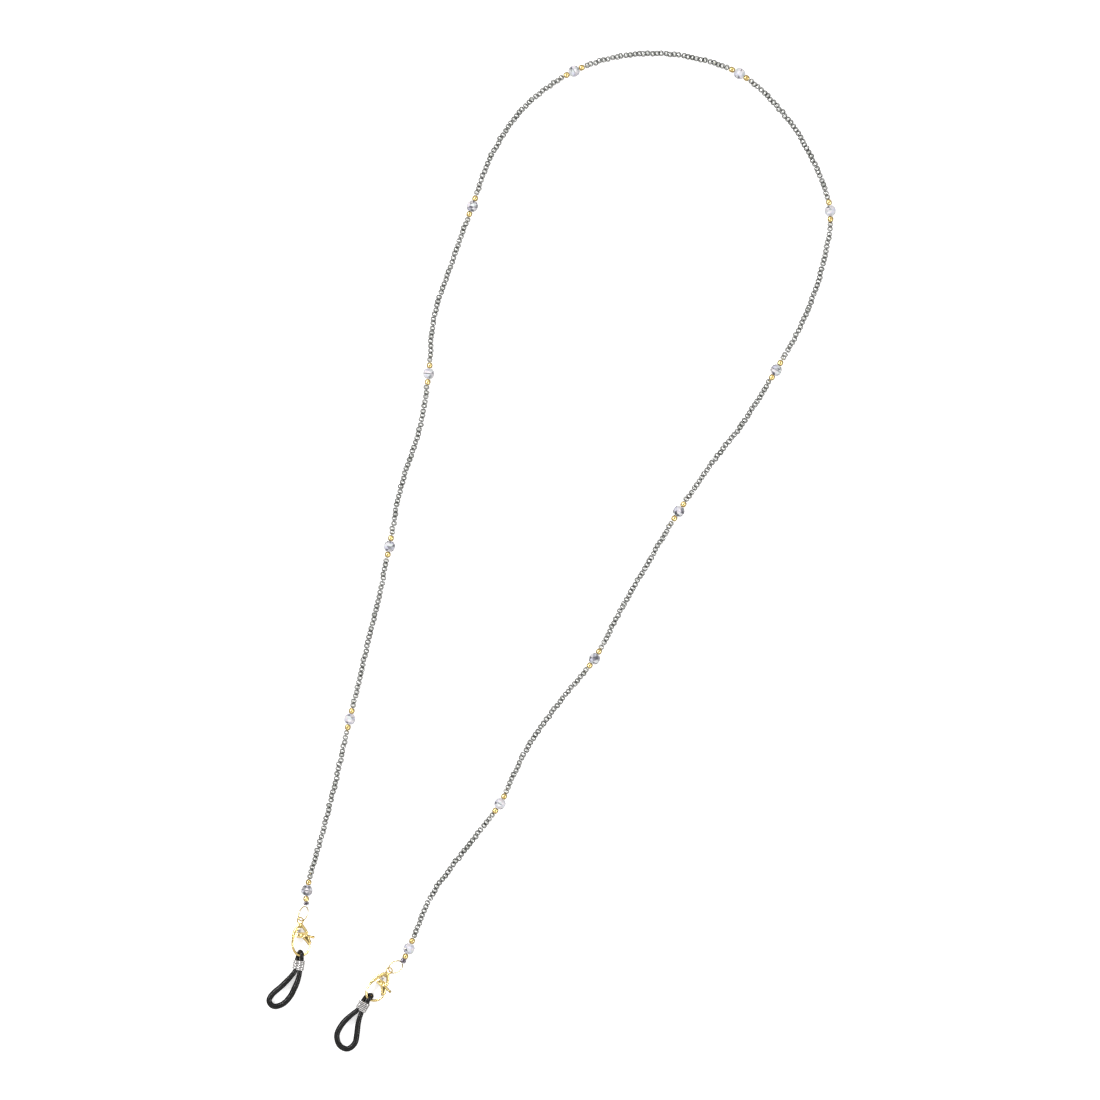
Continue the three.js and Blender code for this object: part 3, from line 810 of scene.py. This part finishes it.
class STRAP_OT_spacers(bpy.types.Operator):
    """Make the gold spacer beads on each side of the crystals"""

    bl_idname = "strap.spacers"
    bl_label = "Gold spacers"

    def execute(self, context):
        radius = context.scene.strap_strand.spacer / 2
        half = 0.98 * radius
        lip, waist, edge = 0.44 * radius, 0.05 * radius, 0.36 * radius
        profile = [(edge, -half), (lip + waist, -half)]
        for k in range(1, 8):
            angle = math.pi * (k / 8 - 0.5)
            profile.append((lip + (radius - lip) * math.cos(angle), half * math.sin(angle) * 0.98))
        profile += [(lip + waist, half), (edge, half)]
        bead = shaded_smooth(mesh_from("spacer_bead", *turned(profile, 20)))
        distances = [
            ROUTE.station(i) + side * SPACER_FROM_STATION for i in range(LAST + 1) for side in (-1, 1)
        ]
        spacers = beads_on_thread(
            "gold_spacers", distances, bead, metal("gold_plate"), 0.05, 0.00002, 0.01, 5
        )
        nodes = [name for name in frame["nodes"] if name.startswith("gold_spacer_")]
        finish_piece(spacers, "strand", nodes=nodes)
        return {"FINISHED"}


class STRAP_OT_crystals(bpy.types.Operator):
    """Cut the thirteen crystal rondelles, facet by facet"""

    bl_idname = "strap.crystals"
    bl_label = "Crystals"

    FACETS = 8
    TINTS = [(0.92, 0.91, 0.95), (0.78, 0.78, 0.93), (0.86, 0.92, 0.92), (0.95, 0.88, 0.92)]
    # Painted reflections: facets coloured near black to grey, standing in for the dark surroundings that
    # the mirror coat reflects.
    PAINTED_DARK_FACETS = [(0.12, 0.12, 0.14), (0.26, 0.25, 0.30), (0.40, 0.41, 0.43)]

    def execute(self, context):
        for i in range(LAST + 1):
            number = f"{i + 1:02d}"
            mesh = strung(self.cut(context.scene.strap_strand, i), ROUTE.station(i))
            crystal = new_piece(f"crystal_{number}", mesh)
            body, nodes = f"rondelle_{number}", [f"crystal_rondelle_{number}"]
            finish_piece(crystal, body, shared(coated_crystal), nodes)
        return {"FINISHED"}

    def cut(self, strand, i):
        """Rings of points from hole to hole, joined by flat triangles between the girdle rows."""
        radius, half = strand.crystal / 2, strand.crystal_length / 2
        hole = 0.26 * radius
        rings = [
            (hole, -half, 0), (0.54 * radius, -half, 0), (0.86 * radius, -0.56 * half, 1),
            (radius, -0.08 * half, 0), (radius, 0.08 * half, 0), (0.86 * radius, 0.56 * half, 1),
            (0.54 * radius, half, 0), (hole, half, 0),
        ]  # fmt: skip
        count = self.FACETS
        points = []
        for ring_radius, height, shift in rings:
            for k in range(count):
                angle = 2 * math.pi * (k + 0.5 + 0.5 * shift) / count
                points.append((ring_radius * math.cos(angle), ring_radius * math.sin(angle), height))
        faces = []
        for row, (lower, upper) in enumerate(zip(rings, rings[1:] + rings[:1])):
            a, b = row * count, (row + 1) % len(rings) * count
            for k in range(count):
                n = (k + 1) % count
                if lower[2] == upper[2]:
                    faces.append((a + k, a + n, b + n, b + k))
                elif lower[2] < upper[2]:
                    faces += [(a + k, a + n, b + k), (a + n, b + n, b + k)]
                else:
                    faces += [(a + k, b + n, b + k), (a + k, a + n, b + n)]
        mesh = mesh_from("crystal", points, faces)
        self.tint_and_painted_reflection(mesh, i)
        return mesh

    # Each facet takes one of the coat's colours, or a painted dark reflection; a larger share is painted
    # dark on the darker stations.
    def tint_and_painted_reflection(self, mesh, i):
        chance = random.Random(40 + i)
        painted_dark_share = 0.42 if i in PAINTED_DARK_STATIONS else 0.12
        tint_and_painted_reflection = mesh.color_attributes.new("facet_tint_and_painted_reflection", "FLOAT_COLOR", "CORNER")
        for face in mesh.polygons:
            chosen = chance.choice(self.PAINTED_DARK_FACETS if chance.random() < painted_dark_share else self.TINTS)
            for corner in face.loop_indices:
                tint_and_painted_reflection.data[corner].color = rgba(chosen)


class STRAP_OT_crimps(bpy.types.Operator):
    """Make the two crushed crimps that close the thread's ends"""

    bl_idname = "strap.crimps"
    bl_label = "Crimps"

    SHAPES = {"left": (1.06, 0.62, 0.5), "right": (1.04, 0.98, 0.8)}  # wide, deep, and length in mm

    def execute(self, context):
        for side, station, toward in (("left", 0, -1), ("right", LAST, 1)):
            wide, deep, half = self.SHAPES[side]
            mesh = self.crushed(wide * 0.9 * MM, deep * 0.9 * MM, half * MM)
            strung(mesh, ROUTE.station(station) + toward * CRIMP_FROM_STATION)
            crimp = new_piece(f"{side}_crushed_crimp", mesh)
            finish_piece(crimp, "strand", metal("dark_gunmetal"), [f"{side}_crimp"])
        return {"FINISHED"}

    def crushed(self, wide, deep, half):
        """A short tube pressed flat, with the tool's dent across its middle."""
        sides, rows = 28, 9
        profile = [(0.3, -0.92)]
        for k in range(rows):
            angle = math.pi * (k / (rows - 1) - 0.5)
            profile.append((0.72 + 0.28 * math.cos(angle), 1.0 * math.sin(angle)))
        profile.append((0.3, 0.92))
        points, faces = turned(profile, sides)
        for point in points:
            dent = 1 - 0.22 * math.exp(-((point.x / 0.3) ** 2)) * max(0, 1 - abs(point.z))
            point.x, point.y, point.z = point.x * wide, point.y * deep * dent, point.z * half
        return shaded_smooth(mesh_from("crimp", points, faces))


class STRAP_OT_rings(bpy.types.Operator):
    """Make the gold jump rings, each with its cut"""

    bl_idname = "strap.rings"
    bl_label = "Jump rings"

    TILTS = {"left": 54, "right": 45}

    def execute(self, context):
        fitting = context.scene.strap_fitting
        for side in SIDES:
            thread = Vector(JOINTS[f"{side}_ring_swing"]["pos_m"])
            eye = Vector(JOINTS[f"{side}_clasp_swing"]["pos_m"])
            middle, radius = (thread + eye) / 2, (eye - thread).length / 2
            line = (eye - thread).normalized()
            tilt = math.radians(self.TILTS[side])
            across = UP.cross(line) * math.cos(tilt) + UP * math.sin(tilt)
            opening = fitting.ring_gap / radius
            start = math.radians(128)
            angles = np.linspace(start, start + 2 * math.pi - opening, 96)
            path = circle(middle, radius, line, across, angles)
            pale = metal("pale_gold_plate")
            ring = wire_piece(f"{side}_jump_ring", path, fitting.ring_wire / 2, pale, 14)
            finish_piece(ring, f"{side}_ring", nodes=[f"{side}_wire_ring"])
        return {"FINISHED"}


class STRAP_OT_clasps(bpy.types.Operator):
    """Cast the lobster clasps with their triggers, pins and springs"""

    bl_idname = "strap.clasps"
    bl_label = "Clasps"

    REACH = {"body": 0.8 * MM, "trigger": 0.7 * MM}  # how far in from its outline a casting is domed
    CORE = {"body": 0.64 * MM, "trigger": 0.15 * MM}  # half the height that stays flat
    DROP = 0.8  # share of the height beyond the core that the dome takes at the outline

    def execute(self, context):
        for side in SIDES:
            for part, owner, voxel, passes in (("body", "clasp", 0.06, 9), ("trigger", "trigger", 0.05, 7)):
                name = f"{side}_clasp_{part}"
                cast = self.cast(f"{side}_{owner}_cast", name, voxel * MM, passes)
                self.dome(cast.data, side, self.CORE[part], self.REACH[part])
                finish_piece(cast, f"{side}_{owner}", metal("gold_plate"), [name])
            self.pin(side)
            self.spring(side, context.scene.strap_fitting)
        return {"FINISHED"}

    def cast(self, name, node_name, voxel, passes):
        """The frame's shape with its corners run soft, as a polished casting has them."""
        mesh = frame["nodes"][node_name].data.copy()
        mesh.materials.clear()
        source = new_piece(name + "_source", mesh)
        weld = source.modifiers.new("weld", "WELD")
        weld.merge_threshold = 1e-6
        remesh = source.modifiers.new("remesh", "REMESH")
        remesh.mode, remesh.voxel_size, remesh.use_smooth_shade = "VOXEL", voxel, True
        soften = source.modifiers.new("soften", "SMOOTH")
        soften.factor, soften.iterations = 0.5, passes
        return baked_piece(name, source)

    def dome(self, mesh, side, core, reach):
        """Thins a casting toward its outline, outside a flat core, so that light rolls over it."""
        middle = clasp_frame(side).translation.z
        outline = [vertex.co for vertex in mesh.vertices if abs(vertex.normal.z) < 0.5]
        near = kdtree.KDTree(len(outline))
        for k, point in enumerate(outline):
            near.insert((point.x, point.y, 0), k)
        near.balance()
        for vertex in mesh.vertices:
            x, y, z = vertex.co
            above = abs(z - middle) - core
            if above > 0:
                away = min(near.find((x, y, 0))[2] / reach, 1.0)
                kept = core + above * (1 - self.DROP * (1 - away) ** 2)
                vertex.co.z = middle + math.copysign(kept, z - middle)
        mesh.update()

    def pin(self, side):
        """A rivet with low domed heads."""
        low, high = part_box(f"{side}_clasp_pin")
        middle, half = (low + high) / 2, (high.z - low.z) / 2
        radius = (high.x - low.x) / 2
        points, faces = [], []
        rows = [(math.cos(a), math.sin(a)) for a in np.linspace(0.2, math.pi / 2 - 0.25, 5)]
        rings = [(radius * c, half - 0.1 * MM + 0.14 * MM * s) for c, s in rows]
        rings = [(r, -h) for r, h in reversed(rings)] + rings
        sides = 24
        for r, h in rings:
            points += [
                middle + Vector((r * math.cos(a), r * math.sin(a), h))
                for a in np.linspace(0, 2 * math.pi, sides, endpoint=False)
            ]
        for row in range(len(rings) - 1):
            for k in range(sides):
                n = (k + 1) % sides
                a, b = row * sides, (row + 1) * sides
                faces.append((a + k, a + n, b + n, b + k))
        top = (len(rings) - 1) * sides
        faces += [tuple(reversed(range(sides))), tuple(range(top, top + sides))]
        rivet = new_piece(f"{side}_rivet", shaded_smooth(mesh_from("rivet", points, faces)))
        finish_piece(rivet, f"{side}_clasp", metal("gold_plate"), [f"{side}_clasp_pin"])

    def spring(self, side, fitting):
        """The trigger's small return spring, between the neck and the trigger's heel."""
        place = clasp_frame(side)
        turns, radius, start, stop, across = 4, 0.33 * MM, 2.98 * MM, 3.78 * MM, -0.36 * MM
        steps = 24 * turns
        path = []
        for k in range(steps + 1):
            angle = 2 * math.pi * turns * k / steps
            along = start + (stop - start) * k / steps
            point = Vector((along, across + radius * math.cos(angle), radius * math.sin(angle)))
            path.append(place @ point)
        name, steel = f"{side}_return_spring", metal("plain_spring_wire")
        spring = wire_piece(name, path, fitting.spring_wire / 2, steel, 10)
        finish_piece(spring, f"{side}_clasp", nodes=[f"{side}_clasp_spring"])
        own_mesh(spring)


class STRAP_OT_loops(bpy.types.Operator):
    """Make the black rubber temple loops"""

    bl_idname = "strap.loops"
    bl_label = "Rubber loops"

    LIMIT = (4 + 2 * math.cos(math.pi / 4)) / 6  # how far a subdivided eight-sided tube draws in
    CLOSED = {"left": 0.62, "right": 0.68}  # how far the sliding coil draws the two legs together

    def execute(self, context):
        for side in SIDES:
            mesh = frame["nodes"][f"{side}_rubber_loop"].data.copy()
            mesh.materials.clear()
            rubber = bmesh.new()
            rubber.from_mesh(mesh)
            bmesh.ops.remove_doubles(rubber, verts=rubber.verts, dist=1e-6)
            limits = {"angle_face_threshold": 0.9, "angle_shape_threshold": 0.9}
            bmesh.ops.join_triangles(rubber, faces=rubber.faces, **limits)
            rubber.normal_update()
            place = loop_frame(side)
            swell = 0.8 * MM * (1 / self.LIMIT - 1)
            for vertex in rubber.verts:
                along = (place.inverted() @ vertex.co).x
                free = min(max((along - 7.5 * MM) / (2.5 * MM), 0.0), 1.0)
                vertex.co += vertex.normal * (swell + 0.13 * MM * free)
                vertex.co.z += 0.1 * MM * free
            rubber.to_mesh(mesh)
            rubber.free()
            source = new_piece(f"{side}_loop_source", mesh)
            round_off = source.modifiers.new("round_off", "SUBSURF")
            round_off.levels = round_off.render_levels = 2
            loop = baked_piece(f"{side}_temple_loop", source)
            shaded_smooth(loop.data)
            rubber_loop = [f"{side}_rubber_loop"]
            finish_piece(loop, f"{side}_loop", shared(glossy_rubber), rubber_loop)
            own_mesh(loop)
        return {"FINISHED"}


class STRAP_OT_coils(bpy.types.Operator):
    """Wind the silver coils round both legs of the rubber"""

    bl_idname = "strap.coils"
    bl_label = "Wire coils"

    TURNS = 5.5
    LOBE = [-105, -60, -20, 20, 60, 105]  # degrees round each leg
    WAIST = 0.86 * MM

    def execute(self, context):
        fitting = context.scene.strap_fitting
        wire = fitting.coil_wire / 2
        turn = self.one_turn(0.8 * MM + wire)
        count = round(self.TURNS * len(turn))
        for side in SIDES:
            place = loop_frame(side)
            start = COIL_START + wire
            path = []
            for k in range(count + 1):
                across, height = turn[k % len(turn)]
                along = start + (fitting.coil_length - 2 * wire) * k / count
                path.append(place @ Vector((along, across, COIL_Z + height)))
            coil = wire_piece(f"{side}_silver_coil", path, wire, metal("bright_nickel"), 12)
            finish_piece(coil, f"{side}_coil", nodes=[f"{side}_wire_coil"])
        return {"FINISHED"}

    def one_turn(self, reach):
        """A turn's outline round both legs, with a waist between them, as a smooth closed line."""
        lobe = [math.radians(a) for a in self.LOBE]
        knots = [(COIL_LEGS + reach * math.cos(a), reach * math.sin(a)) for a in lobe]
        knots.append((0.0, self.WAIST))
        knots += [(-COIL_LEGS - reach * math.cos(a), -reach * math.sin(a)) for a in lobe]
        knots.append((0.0, -self.WAIST))
        knots = [Vector(k) for k in knots]
        line, steps = [], 5
        for i, here in enumerate(knots):
            before, after = knots[i - 1], knots[(i + 1) % len(knots)]
            beyond = knots[(i + 2) % len(knots)]
            for k in range(steps):
                t = k / steps
                square = (2 * before - 5 * here + 4 * after - beyond) * t**2
                cube = (3 * here - before - 3 * after + beyond) * t**3
                line.append(0.5 * (2 * here + (after - before) * t + square + cube))
        return line


class STRAP_OT_string_up(bpy.types.Operator):
    """Gathers the names of the pieces strung on the thread, and does nothing more with them"""

    bl_idname = "strap.string_up"
    bl_label = "String up"

    def execute(self, context):
        strung = ["seed_beads", "gold_spacers"]
        strung += [f"{side}_{piece}" for side in SIDES for piece in ("crushed_crimp", "thread_loop")]
        strung += [f"crystal_{i + 1:02d}" for i in range(LAST + 1)]
        return {"FINISHED"}


OPERATORS = (
    STRAP_OT_stage, STRAP_OT_thread, STRAP_OT_seed_beads, STRAP_OT_spacers, STRAP_OT_crystals,
    STRAP_OT_crimps, STRAP_OT_rings, STRAP_OT_clasps, STRAP_OT_loops, STRAP_OT_coils, STRAP_OT_string_up,
)  # fmt: skip
SETTINGS = {
    "strap_strand": StrandSettings,
    "strap_fitting": FittingSettings,
    "strap_finish": FinishSettings,
    "strap_stage": StageSettings,
}


class STRAP_PT_panel(bpy.types.Panel):
    """Lists the strap's settings and makers"""

    bl_label = "Eyeglass strap"
    bl_idname = "STRAP_PT_panel"
    bl_space_type = "VIEW_3D"
    bl_region_type = "UI"
    bl_category = "Eyeglass strap"

    def draw(self, context):
        for name in SETTINGS:
            box = self.layout.box()
            group = getattr(context.scene, name)
            for setting in group.bl_rna.properties:
                if setting.identifier not in ("rna_type", "name"):
                    box.prop(group, setting.identifier)
        for operator in OPERATORS:
            self.layout.operator(operator.bl_idname)


def register():
    for cls in (*SETTINGS.values(), *OPERATORS, STRAP_PT_panel):
        bpy.utils.register_class(cls)
    for name, cls in SETTINGS.items():
        setattr(bpy.types.Scene, name, bpy.props.PointerProperty(type=cls))


def unregister():
    for name in SETTINGS:
        delattr(bpy.types.Scene, name)
    for cls in (STRAP_PT_panel, *reversed(OPERATORS), *SETTINGS.values()):
        bpy.utils.unregister_class(cls)


def main():
    """Makes every piece in order."""
    register()
    for operator in OPERATORS:
        group, name = operator.bl_idname.split(".")
        getattr(getattr(bpy.ops, group), name)()


if __name__ == "__main__":
    main()
